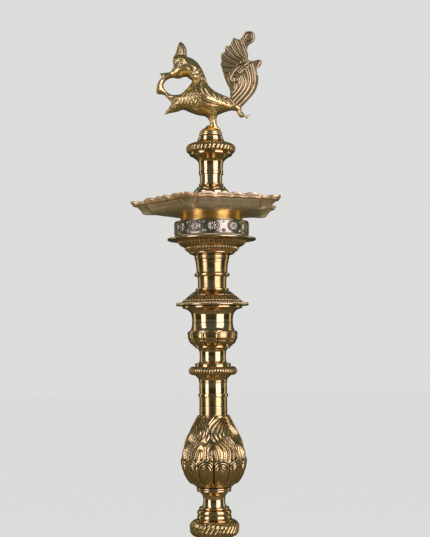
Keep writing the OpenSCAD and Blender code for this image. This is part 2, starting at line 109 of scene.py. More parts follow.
def normals_of(obj):
    values = np.empty(len(obj.data.vertices) * 3)
    obj.data.vertices.foreach_get("normal", values)
    return values.reshape(-1, 3)


def move_points(obj, points):
    obj.data.vertices.foreach_set("co", points.reshape(-1))
    obj.data.update()


# ---- turned outlines
def line(r, h=0.0):
    """Straight to the radius r, h higher up."""
    return ("line", r, h, 0.0)


def bead(h, out):
    """A half-round bead h high that stands out (or is grooved in) by out."""
    return ("bead", None, h, out)


def sweep(r, h, out=0.0):
    """An easy curve to the radius r, h higher, swelling out or hollowed in by out."""
    return ("sweep", r, h, out)


def outline(start_r, start_z, *moves, curve=10):
    """Points (radius, height) of a turned outline."""
    points = [(start_r, start_z)]
    for kind, radius, h, out in moves:
        r0, z0 = points[-1]
        r1 = r0 if radius is None else radius
        count = 1 if kind == "line" else curve
        for i in range(1, count + 1):
            t = i / count
            rise = (1 - math.cos(math.pi * t)) / 2 if kind == "bead" else t
            points.append((r0 + (r1 - r0) * t + out * math.sin(math.pi * t), z0 + h * rise))
    return points


def face_outwards(obj, merge):
    """Merge points that are closer than merge (in metres) and turn every face outwards."""
    pick(obj)
    bpy.ops.object.mode_set(mode="EDIT")
    bpy.ops.mesh.select_all(action="SELECT")
    bpy.ops.mesh.remove_doubles(threshold=merge)
    bpy.ops.mesh.normals_make_consistent(inside=False)
    bpy.ops.object.mode_set(mode="OBJECT")


def lathe(name, points, steps=128):
    """Spin an outline (millimetres) round the lamp's axis; a closed outline makes a closed piece."""
    deselect()
    bpy.ops.mesh.primitive_plane_add(size=MM)
    obj = bpy.context.object
    obj.name = name
    obj.data.name = name
    bpy.ops.object.mode_set(mode="EDIT")
    bpy.ops.mesh.merge(type="CENTER")
    r, z = points[0]
    bpy.ops.transform.translate(value=(r * MM, 0, z * MM))
    for (ra, za), (rb, zb) in zip(points, points[1:]):
        bpy.ops.mesh.extrude_vertices_move(
            TRANSFORM_OT_translate={"value": ((rb - ra) * MM, 0, (zb - za) * MM)})
    bpy.ops.object.mode_set(mode="OBJECT")
    spin = obj.modifiers.new("spin", "SCREW")
    spin.angle = TAU
    spin.steps = spin.render_steps = steps
    finish_modifiers(obj)
    face_outwards(obj, 0.002 * MM)
    return obj


def reaching(points, node_name, next_node):
    """Stretch an outline so that it ends just under the section that screws on above it."""
    stretch = (base_of(next_node) - base_of(node_name) - SEAT_GAP) / points[-1][1]
    return [(r, z * stretch) for r, z in points]


def with_bore(points, bore):
    """Close an outside outline over its top face and down a through bore."""
    return [(bore, points[0][1])] + points + [(bore, points[-1][1]), (bore, points[0][1])]


def cylinder_places(obj):
    """Angle from the front, radius in mm and height in mm of each point."""
    p = points_of(obj)
    angle = np.arctan2(p[:, 1], p[:, 0]) - FRONT
    angle = (angle + math.pi) % TAU - math.pi
    return angle, np.hypot(p[:, 0], p[:, 1]) / MM, p[:, 2] / MM


def relief(obj, height):
    """Raise each point along its normal by height(angle, radius, z) millimetres."""
    angle, r, z = cylinder_places(obj)
    lift = height(angle, r, z) * MM
    move_points(obj, points_of(obj) + normals_of(obj) * lift[:, None])


def cell(angle, count, centre=0.0):
    """Position within each of count equal cells round the axis, from -1 to 1."""
    u = (angle - centre) * count / TAU
    return 2 * (u - np.round(u))


def step_up(x, low, high):
    """0 below low, 1 above high, with an easy rise between."""
    t = np.clip((x - low) / (high - low), 0, 1)
    return t * t * (3 - 2 * t)


def band(z, low, high, soft):
    """1 between two heights, falling to 0 over a soft edge at each."""
    return step_up(z, low - soft, low + soft) * (1 - step_up(z, high - soft, high + soft))


def ridge(distance, width):
    """A round-topped ridge: 1 where the distance is 0."""
    return np.exp(-(distance / width) ** 2)


def curve_through(points, steps=6):
    """More points along a smooth curve through the given (x, z) points."""
    p = [points[0], *points, points[-1]]
    path = []
    for a, b, c, d in zip(p, p[1:], p[2:], p[3:]):
        for i in range(steps):
            t = i / steps
            path.append(tuple(
                0.5 * (2 * b[k] + (c[k] - a[k]) * t + (2 * a[k] - 5 * b[k] + 4 * c[k] - d[k]) * t * t
                       + (3 * b[k] - a[k] - 3 * c[k] + d[k]) * t ** 3) for k in (0, 1)))
    path.append(tuple(points[-1]))
    return path


FAR_OFF = 16                  # millimetres from a path beyond which it raises nothing


def near(x, z, path, taper=0.0):
    """How far each place (x, z) is from a path, growing toward the path's ends."""
    best = np.full(x.shape, 1e3)
    last = len(path) - 1
    for i, ((ax, az), (bx, bz)) in enumerate(zip(path, path[1:])):
        dx, dz = bx - ax, bz - az
        close = (np.abs(x - ax) < FAR_OFF) & (np.abs(z - az) < FAR_OFF)
        if not close.any():
            continue
        px, pz = x[close] - ax, z[close] - az
        t = np.clip((px * dx + pz * dz) / max(dx * dx + dz * dz, 1e-9), 0, 1)
        end = abs(2 * (i + 0.5) / last - 1)
        d = np.hypot(px - t * dx, pz - t * dz) + taper * end ** 4
        best[close] = np.minimum(best[close], d)
    return best


def strokes(x, z, paths, width, taper=0.8):
    """Raised lines along smooth paths: 1 on a path, falling to 0 beside it."""
    total = np.zeros_like(x)
    for path in paths:
        total = np.maximum(total, ridge(near(x, z, curve_through(path), taper), width))
    return total


def mark_edges(obj, reach=2, gain=0.0005):
    """Store how sharply the surface bends at each point: 1 on ridges, 0 in hollows."""
    mesh = obj.data
    pairs = np.empty(len(mesh.edges) * 2, dtype=np.int64)
    mesh.edges.foreach_get("vertices", pairs)
    a, b = pairs.reshape(-1, 2).T
    p, n = points_of(obj), normals_of(obj)
    d = p[b] - p[a]
    size = np.maximum((d * d).sum(1), 1e-12)
    count = len(p)
    valence = np.maximum(np.bincount(a, minlength=count) + np.bincount(b, minlength=count), 1)
    bend = np.bincount(a, 2 * (d * n[a]).sum(1) / size, count)
    bend += np.bincount(b, -2 * (d * n[b]).sum(1) / size, count)
    value = np.clip(-bend / valence * gain, -1, 1)
    for _ in range(reach):
        total = np.bincount(a, value[b], count) + np.bincount(b, value[a], count)
        value = 0.5 * value + 0.5 * total / valence
    layer = mesh.attributes.new("edge", "FLOAT", "POINT")
    layer.data.foreach_set("value", np.clip(0.5 + 0.5 * value, 0, 1).astype(np.float32))


# ---- shader groups
def node(tree, kind, **settings):
    item = tree.nodes.new(kind)
    for key, value in settings.items():
        setattr(item, key, value)
    return item


def feed(tree, socket, value):
    """Give a socket a constant, or join it to another node's output."""
    if hasattr(value, "links"):
        tree.links.new(value, socket)
    else:
        socket.default_value = value


def new_group(name, inputs, outputs):
    """A shader node group with named inputs, each with its default (None for a place), and named
    outputs, each with its kind."""
    group = bpy.data.node_groups.new(name, "ShaderNodeTree")
    for key, value in inputs.items():
        kind = "Vector" if value is None else "Color" if isinstance(value, tuple) else "Float"
        item = group.interface.new_socket(name=key, in_out="INPUT",
                                          socket_type="NodeSocket" + kind)
        if value is not None:
            item.default_value = value
    for key, kind in outputs.items():
        group.interface.new_socket(name=key, in_out="OUTPUT", socket_type="NodeSocket" + kind)
    return group, node(group, "NodeGroupInput").outputs, node(group, "NodeGroupOutput").inputs


def mix_colour(tree, fac, a, b):
    item = node(tree, "ShaderNodeMix", data_type="RGBA", blend_type="MIX")
    for index, value in ((0, fac), (6, a), (7, b)):
        feed(tree, item.inputs[index], value)
    return item.outputs[2]


def ramp(tree, value, low, high, out_low=0.0, out_high=1.0):
    item = node(tree, "ShaderNodeMapRange", interpolation_type="SMOOTHSTEP")
    for name, put in (("Value", value), ("From Min", low), ("From Max", high),
                      ("To Min", out_low), ("To Max", out_high)):
        feed(tree, item.inputs[name], put)
    return item.outputs["Result"]


def maths(tree, operation, a, b, clamp=False):
    item = node(tree, "ShaderNodeMath", operation=operation, use_clamp=clamp)
    feed(tree, item.inputs[0], a)
    feed(tree, item.inputs[1], b)
    return item.outputs[0]


def noise(tree, vector, scale, detail, roughness):
    item = node(tree, "ShaderNodeTexNoise")
    for name, put in (("Vector", vector), ("Scale", scale), ("Detail", detail),
                      ("Roughness", roughness)):
        feed(tree, item.inputs[name], put)
    return item.outputs["Fac"]


def make_patina_and_painted_light_group():
    """Rubbed metal with a painted highlight on the ridges, tarnish with painted shade in the
    hollows, and tarnish in soft clouds over the surface.
    """
    group, ins, outs = new_group(
        "patina_and_painted_light",
        {"Vector": None, "Edge": 0.5, "Metal": (0.8, 0.6, 0.3, 1), "Tarnish": (0.1, 0.07, 0.04, 1),
         "Rubbed": (1, 0.9, 0.7, 1), "Scale": 40.0, "Clouds": 0.2},
        {"Color": "Color", "Dull": "Float"})
    # painted shade: the hollows are darkened toward the tarnish colour, on top of real tarnish
    hollow_shade = ramp(group, ins["Edge"], 0.47, 0.22)
    # painted highlight: the ridges are brightened toward the rubbed colour, on top of real wear
    rub_and_highlight = ramp(group, ins["Edge"], 0.56, 0.85)
    clouds = noise(group, ins["Vector"], ins["Scale"], 6.0, 0.62)
    clouds = ramp(group, clouds, 0.42, 0.72)
    dull = maths(group, "ADD", hollow_shade, maths(group, "MULTIPLY", clouds, ins["Clouds"]), clamp=True)
    colour = mix_colour(group, dull, ins["Metal"], ins["Tarnish"])
    group.links.new(mix_colour(group, rub_and_highlight, colour, ins["Rubbed"]), outs["Color"])
    group.links.new(dull, outs["Dull"])
    return group


def make_casting_group():
    """The skin of a sand casting: pits and lumps at two sizes, as a height."""
    group, ins, outs = new_group(
        "casting_skin", {"Vector": None, "Grain": 900.0, "Lumps": 160.0}, {"Height": "Float"})
    grain = noise(group, ins["Vector"], ins["Grain"], 3.0, 0.6)
    lumps = noise(group, ins["Vector"], ins["Lumps"], 2.0, 0.5)
    total = maths(group, "ADD", maths(group, "MULTIPLY", grain, 0.5), lumps)
    group.links.new(total, outs["Height"])
    return group


def make_turning_group():
    """Fine rings left by the lathe tool and the polishing mop, as a height."""
    group, ins, outs = new_group("turning_marks", {"Vector": None}, {"Height": "Float"})
    stretch = node(group, "ShaderNodeMapping")
    stretch.inputs["Scale"].default_value = (0.06, 0.06, 1.0)
    group.links.new(ins["Vector"], stretch.inputs["Vector"])
    rings = noise(group, stretch.outputs["Vector"], 1100.0, 2.0, 0.5)
    waves = noise(group, ins["Vector"], 55.0, 2.0, 0.5)
    total = maths(group, "ADD", maths(group, "MULTIPLY", rings, 0.12), waves)
    group.links.new(total, outs["Height"])
    return group


PATINA_AND_PAINTED_LIGHT = make_patina_and_painted_light_group()
CASTING = make_casting_group()
TURNING = make_turning_group()


def grouped(tree, group, **values):
    item = node(tree, "ShaderNodeGroup", node_tree=group)
    for name, value in values.items():
        feed(tree, item.inputs[name], value)
    return item.outputs


def brass(name, metal, tarnish_and_shade, rubbed_and_highlight, bright, dull, scale, clouds, skin, depth, **skin_values):
    """A brass: metal colour, tarnish with painted shade for the hollows, rubbed colour with a
    painted highlight for the ridges, roughness where bright and where dull.
    """
    material = bpy.data.materials.new(name)
    material.use_nodes = True
    tree = material.node_tree
    shader = tree.nodes["Principled BSDF"]
    place = node(tree, "ShaderNodeTexCoord").outputs["Object"]
    edge = node(tree, "ShaderNodeAttribute", attribute_name="edge").outputs["Fac"]
    look = grouped(tree, PATINA_AND_PAINTED_LIGHT, Vector=place, Edge=edge, Metal=metal + (1,),
                   Tarnish=tarnish_and_shade + (1,), Rubbed=rubbed_and_highlight + (1,), Scale=scale, Clouds=clouds)
    smear = noise(tree, place, 70.0, 3.0, 0.6)
    rough = ramp(tree, look["Dull"], 0.0, 1.0, bright, dull)
    rough = maths(tree, "ADD", rough, maths(tree, "MULTIPLY", smear, 0.06), clamp=True)
    tree.links.new(look["Color"], shader.inputs["Base Color"])
    tree.links.new(rough, shader.inputs["Roughness"])
    shader.inputs["Metallic"].default_value = 1.0
    bump = node(tree, "ShaderNodeBump")
    bump.inputs["Distance"].default_value = depth * MM
    bump.inputs["Strength"].default_value = 1.0
    height = grouped(tree, skin, Vector=place, **skin_values)["Height"]
    tree.links.new(height, bump.inputs["Height"])
    tree.links.new(bump.outputs["Normal"], shader.inputs["Normal"])
    return material


# Each brass: metal, then tarnish with painted shade for its hollows, then rubbed metal with a
# painted highlight for its ridges
polished = brass("polished_brass", (0.80, 0.58, 0.275), (0.11, 0.07, 0.022), (0.90, 0.68, 0.36),
                 0.085, 0.38, 45.0, 0.20, TURNING, 0.05)
carved = brass("carved_brass", (0.66, 0.465, 0.18), (0.025, 0.018, 0.008), (1.0, 0.80, 0.48),
               0.16, 0.45, 60.0, 0.26, CASTING, 0.05, Grain=420.0, Lumps=150.0)
cast = brass("cast_brass", (0.92, 0.76, 0.45), (0.40, 0.34, 0.21), (1.0, 0.66, 0.32),
             0.40, 0.62, 70.0, 0.75, CASTING, 0.30, Grain=600.0, Lumps=200.0)
rim = brass("rim_brass", (0.88, 0.58, 0.28), (0.38, 0.25, 0.12), (1.0, 0.72, 0.38),
            0.34, 0.58, 70.0, 0.70, CASTING, 0.25, Grain=500.0, Lumps=180.0)
feather = brass("feather_brass", (0.69, 0.51, 0.24), (0.06, 0.05, 0.022), (1.0, 0.76, 0.42),
                0.32, 0.52, 70.0, 0.40, CASTING, 0.08, Grain=420.0, Lumps=180.0)
bird = brass("bird_brass", (1.0, 0.74, 0.30), (0.07, 0.035, 0.008), (1.0, 0.80, 0.48),
             0.24, 0.42, 80.0, 0.22, CASTING, 0.03, Grain=300.0, Lumps=140.0)
pale = brass("pale_brass", (0.44, 0.40, 0.27), (0.045, 0.038, 0.025), (0.85, 0.78, 0.62),
             0.20, 0.45, 60.0, 0.30, CASTING, 0.05, Grain=420.0, Lumps=150.0)
# painted reflection: a brighter, more saturated copy of the polished brass that stands in for the
# golden light thrown back under the dish
golden_reflection = brass("golden_reflection_brass", (1.0, 0.66, 0.19), (0.20, 0.12, 0.03), (1.0, 0.76, 0.34),
               0.20, 0.42, 45.0, 0.20, TURNING, 0.05)
thread = brass("thread_brass", (0.60, 0.42, 0.18), (0.14, 0.09, 0.04), (0.80, 0.62, 0.36),
               0.28, 0.55, 90.0, 0.35, TURNING, 0.05)
COATS = {"polished_brass": polished, "cast_brass": cast, "bird_brass": bird, "pale_brass": pale,
         "thread_brass": thread}


def coat(obj, material, slot_name, body, *nodes, angle=35, gain=None):
    """Give a finished piece its edge marks, its brass and the body that it rides on; slot_name is
    not used.
    """
    smooth(obj, angle)
    # the gain sets how strongly the painted shade in hollows and the painted highlight on ridges
    # follow the bends
    mark_edges(obj, gain=gain or (0.0012 if material in (carved, bird, feather) else 0.0005))
    obj.data.materials.clear()
    obj.data.materials.append(material)
    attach(obj, body)
    if nodes:
        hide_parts(*nodes)
    return obj


# ---- camera, lights, floor
EYE_HEIGHT = 717.5            # the camera's height above the floor
EYE_AWAY = 1900.0             # its distance in front of the lamp's axis
EYE_SIDE = 3.5                # how far it stands to the right of the axis
SEEN_HEIGHT = 845.775         # how much of the lamp's axis the frame takes in, top to bottom
SENSOR = 36.0
VIEW_SHIFT = 0.1518           # the view looks level and is shifted up by this share of the frame
VIEW_LEAN = 0.56              # degrees that the lamp leans in the frame


def make_camera():
    data = bpy.data.cameras.new("camera")
    data.sensor_fit = "VERTICAL"
    data.sensor_height = SENSOR
    data.lens = SENSOR * EYE_AWAY / SEEN_HEIGHT
    data.shift_y = VIEW_SHIFT
    data.clip_end = 20
    camera = bpy.data.objects.new("camera", data)
    bpy.context.scene.collection.objects.link(camera)
    camera.location = (EYE_SIDE * MM, -EYE_AWAY * MM, EYE_HEIGHT * MM)
    camera.rotation_euler = (math.radians(90), math.radians(VIEW_LEAN), 0)
    bpy.context.scene.camera = camera


def softbox(name, angle, away, width, height, middle, power, colour):
    """A tall soft light at an angle from the front, aimed at the lamp's axis."""
    data = bpy.data.lights.new(name, "AREA")
    data.shape = "RECTANGLE"
    data.size = width
    data.size_y = height
    data.energy = power
    data.color = colour
    lamp = bpy.data.objects.new(name, data)
    bpy.context.scene.collection.objects.link(lamp)
    turn = math.radians(angle)
    lamp.location = (away * math.sin(turn), -away * math.cos(turn), middle)
    lamp.rotation_euler = (math.radians(90), 0, turn)


def split_rays(tree, seen, felt, output):
    """Show one shader to the camera and another to everything that it lights."""
    path = node(tree, "ShaderNodeLightPath")
    mix = node(tree, "ShaderNodeMixShader")
    tree.links.new(path.outputs["Is Camera Ray"], mix.inputs[0])
    tree.links.new(felt.outputs[0], mix.inputs[1])
    tree.links.new(seen.outputs[0], mix.inputs[2])
    tree.links.new(mix.outputs[0], output.inputs["Surface"])


COOL = (1.01, 0.94, 1.24)     # the two large softboxes
WARM = (1.0, 0.80, 0.52)      # the two narrow ones behind the lamp
PAPER = (0.72, 0.72, 0.71, 1)


def make_studio():
    softbox("left_softbox", -52, 2.0, 0.85, 2.4, 1.15, 15.0, COOL)
    softbox("right_softbox", 45, 2.0, 1.5, 2.4, 1.15, 26, COOL)
    softbox("left_rim", -118, 1.7, 0.5, 2.4, 1.0, 3.0, WARM)
    softbox("right_rim", 116, 1.7, 0.5, 2.4, 1.0, 3.0, WARM)
    world = bpy.data.worlds.new("room")
    bpy.context.scene.world = world
    world.use_nodes = True
    tree = world.node_tree
    tree.nodes.clear()
    seen = node(tree, "ShaderNodeBackground")
    seen.inputs["Color"].default_value = PAPER
    felt = node(tree, "ShaderNodeBackground")
    felt.inputs["Color"].default_value = (0.082, 0.102, 0.108, 1)
    split_rays(tree, seen, felt, node(tree, "ShaderNodeOutputWorld"))
    bpy.ops.mesh.primitive_plane_add(size=60, location=(0, 0, -0.0005))
    floor = bpy.context.object
    floor.name = "floor"
    material = bpy.data.materials.new("floor")
    material.use_nodes = True
    tree = material.node_tree
    paper = tree.nodes["Principled BSDF"]
    for name, value in (("Base Color", (0.10, 0.105, 0.08, 1)), ("Roughness", 0.9),
                        ("Specular IOR Level", 0.0), ("Emission Color", PAPER),
                        ("Emission Strength", 0.97)):
        paper.inputs[name].default_value = value
    dim = node(tree, "ShaderNodeBsdfDiffuse")
    dim.inputs["Color"].default_value = (0.36, 0.33, 0.21, 1)
    split_rays(tree, paper, dim, tree.nodes["Material Output"])
    floor.data.materials.append(material)
    bpy.context.scene.view_settings.view_transform = "Standard"


# ---- ornament
def rope(count, twist, depth, low, high, floor_r):
    """Twisted strands round a disc: count strands that lean by twist radians over its height."""
    def height(angle, r, z):
        u = cell(angle - twist * (z - low) / (high - low), count)
        strand = np.sqrt(np.clip(1 - u * u * 0.96, 0, 1)) - 0.45
        second = 0.16 * ridge(u - 0.45, 0.14)
        return depth * (strand - second) * band(z, low, high, 1.2) * (r > floor_r)
    return height


def beads(name, count, r, z, size, flat=0.9):
    """A ring of small round beads, each a copy of one low ball."""
    deselect()
    bpy.ops.mesh.primitive_ico_sphere_add(subdivisions=2, radius=size * MM)
    ball = bpy.context.object
    pieces = []
    for i in range(count):
        angle = TAU * i / count
        copy = ball.copy()
        copy.data = ball.data.copy()
        bpy.context.scene.collection.objects.link(copy)
        copy.location = (r * MM * math.cos(angle), r * MM * math.sin(angle), z * MM)
        copy.scale = (1, 1, flat)
        pieces.append(copy)
    bpy.data.objects.remove(ball)
    ring = join(name, pieces)
    settle(ring)
    return ring


def ovals(count, low, high, depth, floor_r, shift=0.0):
    """A low embossed band of upright ovals between two heights."""
    def height(angle, r, z):
        u = cell(angle, count, shift)
        v = (2 * z - low - high) / (high - low)
        q = (u * u) * 1.3 + v * v
        groove = 0.35 * ridge(np.sqrt(q) - 1.08, 0.12) * (np.abs(v) < 1.2)
        return depth * (np.sqrt(np.clip(1 - q, 0, 1)) - groove) * (r > floor_r)
    return height


def turned_piece(name, node_name, body, bore, points, *reliefs, steps=128, material=polished,
                 slot_name="polished_brass", replace=True):
    """One section's core: a turned tube with a bore, standing where its node stands."""
    obj = lathe(name, with_bore(points, bore), steps)
    for height in reliefs:
        relief(obj, height)
    lift(obj, base_of(node_name))
    nodes = (node_name,) if replace else ()
    return coat(obj, material, slot_name, body, *nodes)


def lift(obj, z):
    points = points_of(obj)
    points[:, 2] += z * MM
    move_points(obj, points)


def ring_piece(name, node_name, body, inner, points, *reliefs, steps=480, material=carved,
               slot_name="polished_brass"):
    """A ring of ornament that stands out of a section, finer than its plain core."""
    return turned_piece(name, node_name, body, inner, points, *reliefs, steps=steps,
                        material=material, slot_name=slot_name, replace=False)


# ---- finial neck
def make_finial_neck():
    points = outline(
        28, 0, line(28, 13.5), sweep(24.6, 4.5, 0.6), line(23.6), sweep(21.8, 3.6, 0.4),
        line(20.4), sweep(18.6, 2.4), bead(3, 0.9), line(17.7, 0.3), sweep(17.7, 13.2, -0.3),
        line(18.9, 0.3), bead(1.4, 0.4), line(19.3, 0.2), line(19.3, 2), bead(1.1, -0.5),
        line(19.3, 1.8), line(18.7, 0.3), sweep(19.2, 9.1, -0.15), sweep(31.6, 14, -3.6),
        line(32.5, 0.3), bead(4, 1.3), line(28, 0.6), line(28, 12.5), line(29.6, 0.3),
        sweep(20.6, 5.8, -0.9), bead(2.4, 0.5), line(19.5, 0.2), line(19.5, 3.2), line(19, 0.5))
    turned_piece("neck_casting", "finial_neck", "finial_neck", BIRD_BORE, points)
    disc = outline(33.2, 74.6, sweep(37.6, 5.4, 1.5), sweep(30, 10.2, 3.4), curve=14)
    ring_piece("finial_rope", "finial_neck", "finial_neck", 26, disc,
               rope(30, 0.17, 1.5, 75.5, 89, 28))


# ---- cup and collar
def make_cup():
    points = outline(
        27, 0, line(27, 1.2), bead(4.8, 0.7), line(29.5, 0.4), line(35.2, 2.2), bead(1.6, 0.6),
        sweep(43, 8, 0.5), line(44.4, 0.6), sweep(52.5, 8, 0.6), line(54, 1.2),
        sweep(68.5, 1.6, -0.4), bead(3, 1.4), line(56, 0.4), line(54, 0), line(54, 25.6),
        line(52.5, 0.4), line(47, 0), line(47, -24), line(17, -2), line(16, 25.6))
    turned_piece("cup_casting", "drip_cup", "cup", STEM_BORE, points,
                 ovals(56, 11.5, 18, 1.3, 30), ovals(40, 20.5, 28.5, 1.3, 40, 0.05),
                 steps=640, material=carved)


COLLAR_R = 58.0
FLOWERS = 12
FLOWER_Z = 14.6               # height of the flowers' middles above the collar's foot
FLOWER_R = 8.4


def medallions(angle, r, z):
    """Round flowers in a row, with small dots between them."""
    to_mm = math.pi / FLOWERS * COLLAR_R
    u = cell(angle, FLOWERS, math.radians(4)) * to_mm
    v = z - FLOWER_Z
    d = np.hypot(u, v)
    petal = 0.5 + 0.5 * np.cos(8 * np.arctan2(v, u))
    flower = 0.9 * ridge(d, 1.7) + 0.45 * petal * ridge(d - 4.3, 1.5)
    ring = 0.75 * ridge(d - FLOWER_R + 0.7, 0.8) + 0.4 * ridge(d - FLOWER_R + 2.6, 0.4)
    w = cell(angle, FLOWERS, math.radians(19)) * to_mm
    e = np.hypot(w, z - 7.4)
    dots = 0.8 * ridge(e, 0.7) + 0.5 * ridge(e - 1.9, 0.5)
    f = np.hypot(w, z - 20.6)
    dots = dots + 0.6 * ridge(f, 0.9)
    edge = 0.5 * ridge(z - 3.0, 0.5)
    ticks = 0.5 * ridge(z - 1.6, 0.8) * (0.5 + 0.5 * np.cos(angle * 150))
    top = 0.45 * ridge(z - 23.8, 0.6)
    return 1.35 * (flower + ring + dots + edge + ticks + top) * (r > COLLAR_R - 1)


def make_collar():
    points = outline(COLLAR_R, 0, line(COLLAR_R, 0.1), *[line(COLLAR_R, 0.5)] * 50,
                     line(COLLAR_R - 0.4, 0.3))
    obj = lathe("collar_band", with_bore(points, 54.2), 768)
    relief(obj, medallions)
    lift(obj, base_of("embossed_collar"))
    coat(obj, pale, "pale_brass", "cup", "embossed_collar")


# ---- oil dish
DISH_SIDES = 5
HALF_PANEL = math.pi / DISH_SIDES
SPOUT_REACH = 12.0            # how far a spout stands out past the dish's corner
SPOUT_DROOP = 2.6             # how far its lip hangs under the rim
SPOUT_NOSE = 0.60             # how full its underside is
RIM_R = 90.0                  # where the pan's wall meets the rim
PAN_POCKET = 33.0             # height of the flat top of the boss round the neck's stud


def shape_dish(obj):
    """Turn the round pan into five flat panels with a spout at each corner and a scalloped rim."""
    angle, r, z = cylinder_places(obj)
    from_spout = np.abs(cell(angle + math.pi / 2, DISH_SIDES)) * HALF_PANEL
    eased = np.sqrt(from_spout ** 2 + math.radians(3.0) ** 2) - math.radians(1.2)
    from_panel = HALF_PANEL - eased
    far = step_up(r, 50, 78)
    reach = r * (1 + far * (1 / np.cos(from_panel) - 1))
    high = step_up(z, 12.5, 32)
    tongue = np.exp(-(from_spout / np.radians(2.4 + 5.0 * high)) ** 8)
    reach = reach + far * tongue * SPOUT_REACH * (0.62 + 0.38 * high)
    reach = reach + far * tongue * SPOUT_NOSE * np.clip(RIM_R - r, 0, 14) * (1 - high)
    rim = step_up(z, 27, 32) * step_up(r, 84, RIM_R)
    scallop = np.abs(np.sin(math.pi * 2.5 * from_panel / HALF_PANEL))
    reach = reach + rim * (3.0 * scallop - 1.6)
    wavy = 0.5 * np.sin(7 * angle + 1) + 0.4 * np.sin(13 * angle) + 0.3 * np.sin(29 * angle)
    reach = reach + far * wavy
    z = z + rim * (2.8 * scallop - 1.4) - far * high * SPOUT_DROOP * tongue
    z = z + far * high * 0.7 * np.sin(3 * angle + 0.7)
    turn = angle + FRONT
    points = np.stack([reach * np.cos(turn), reach * np.sin(turn), z], axis=1)
    move_points(obj, points * MM)


def make_dish():
    pan = outline(
        21, 0, line(21, 12), *[line(21.0 + 5.2 * i, 0) for i in range(1, 11)],
        sweep(77.5, 1.6, 0.7), sweep(84, 7, 0.5), sweep(89.6, 7, 0.3), line(92.4, 0.8),
        sweep(94.6, 5.6, 0.9), line(91.4, 0.5), line(90.2, -2.2), sweep(76, -16.4, 0.2),
        line(70, -0.9), *[line(70.0 - 5.0 * i, 0) for i in range(1, 9)],
        line(23, 1.4), line(21.5, 3), line(21.5, 12.6), curve=7)
    pan[-1] = (21.5, PAN_POCKET)
    pan_mesh = lathe("dish_pan", with_bore(pan, STEM_BORE), 720)
    shape_dish(pan_mesh)
    face_outwards(pan_mesh, 0)
    lift(pan_mesh, base_of("oil_dish"))
    coat(pan_mesh, cast, "cast_brass", "dish", "oil_dish", angle=50, gain=0.003)
    band_of_lip = outline(91.2, 26.6, line(92.6, 0.6), bead(6.4, 0.9), line(94.9, 0),
                          line(93.6, 0.5), line(90.6, 0.2), line(89.9, -0.6), curve=6)
    lip = lathe("dish_lip", with_bore(band_of_lip, 89.2), 900)
    shape_dish(lip)
    lift(lip, base_of("oil_dish"))
    coat(lip, rim, "cast_brass", "dish", angle=50, gain=0.0012)
    foot = outline(50.4, 0, bead(2, 0.6), line(49.2, 0.3), sweep(48.4, 10.2, -0.3), line(44, 0))
    # the dish's foot takes the brass with the painted golden reflection
    turned_piece("dish_foot", "oil_dish", "dish", 42, foot, material=golden_reflection, replace=False)


# ---- peacock
def inside_of(x, z, loop):
    """Which places lie inside a closed loop of (x, z) points."""
    inside = np.zeros(x.shape, bool)
    for (ax, az), (bx, bz) in zip(loop, loop[1:] + loop[:1]):
        crosses = (az > z) != (bz > z)
        slope = (bx - ax) / (bz - az) if bz != az else 0.0
        inside ^= crosses & (x < ax + (z - az) * slope)
    return inside


def puffed(inside, pitch, rounds=900):
    """Half thickness of a soft body that fills a shape on an even grid, rounder where wider."""
    u = np.zeros(inside.shape)
    row, column = np.indices(inside.shape)
    reds = inside & ((row + column) % 2 == 0)
    blacks = inside & ((row + column) % 2 == 1)
    push = 2.0 * pitch * pitch * 1.9
    for _ in range(rounds // 2):
        for cells in (reds, blacks):
            around = (np.roll(u, 1, 0) + np.roll(u, -1, 0) + np.roll(u, 1, 1) + np.roll(u, -1, 1))
            fresh = (around + push) / 4
            u = np.where(cells, u + 1.86 * (fresh - u), u)
    return np.sqrt(np.maximum(u, 0))


def plaque(name, loops, pitch, thickness):
    """A casting in the bird's upright plane: loops bound it (the first is its outside edge, the
    others are holes) and thickness(x, z, puff) is half its thickness at each place, in mm."""
    loops = [curve_through(list(loop) + [loop[0]], 5)[:-1] for loop in loops]
    xs = [x for x, z in loops[0]]
    zs = [z for x, z in loops[0]]
    low_x, low_z = min(xs) - 2 * pitch, min(zs) - 2 * pitch
    wide = int((max(xs) - low_x) / pitch) + 4
    tall = int((max(zs) - low_z) / pitch) + 4
    deselect()
    bpy.ops.mesh.primitive_grid_add(x_subdivisions=wide - 1, y_subdivisions=tall - 1, size=1)
    obj = bpy.context.object
    obj.name = name
    gx, gz = np.meshgrid(low_x + pitch * np.arange(wide), low_z + pitch * np.arange(tall))
    inside = inside_of(gx, gz, loops[0])
    for hole in loops[1:]:
        inside &= ~inside_of(gx, gz, hole)
    puff = puffed(inside, pitch)
    half = np.where(inside, thickness(gx, gz, puff), 0.0)
    beside = np.zeros_like(inside)
    for rows, columns in ((1, 0), (-1, 0), (0, 1), (0, -1), (1, 1), (-1, 1), (1, -1), (-1, -1)):
        beside |= ~inside & np.roll(inside, (rows, columns), (0, 1))
    edge = np.array([q for loop in loops for q in curve_through(list(loop) + [loop[0]], 6)])
    spots = np.argwhere(beside)
    here = np.stack([gx[beside], gz[beside]], axis=1)
    nearest = ((here[:, None, :] - edge[None, :, :]) ** 2).sum(2).argmin(1)
    gx[spots[:, 0], spots[:, 1]] = edge[nearest, 0]
    gz[spots[:, 0], spots[:, 1]] = edge[nearest, 1]
    keep = inside | beside
    move_points(obj, np.stack([gx.ravel(), -half.ravel(), gz.ravel()], axis=1) * MM)
    pick(obj)
    select_points(obj, ~keep.ravel())
    bpy.ops.object.mode_set(mode="EDIT")
    bpy.ops.mesh.delete(type="VERT")
    bpy.ops.object.mode_set(mode="OBJECT")
    mirror = obj.modifiers.new("other side", "MIRROR")
    mirror.use_axis = (False, True, False)
    mirror.merge_threshold = 0.02 * MM
    finish_modifiers(obj)
    face_outwards(obj, 0.03 * MM)
    return obj


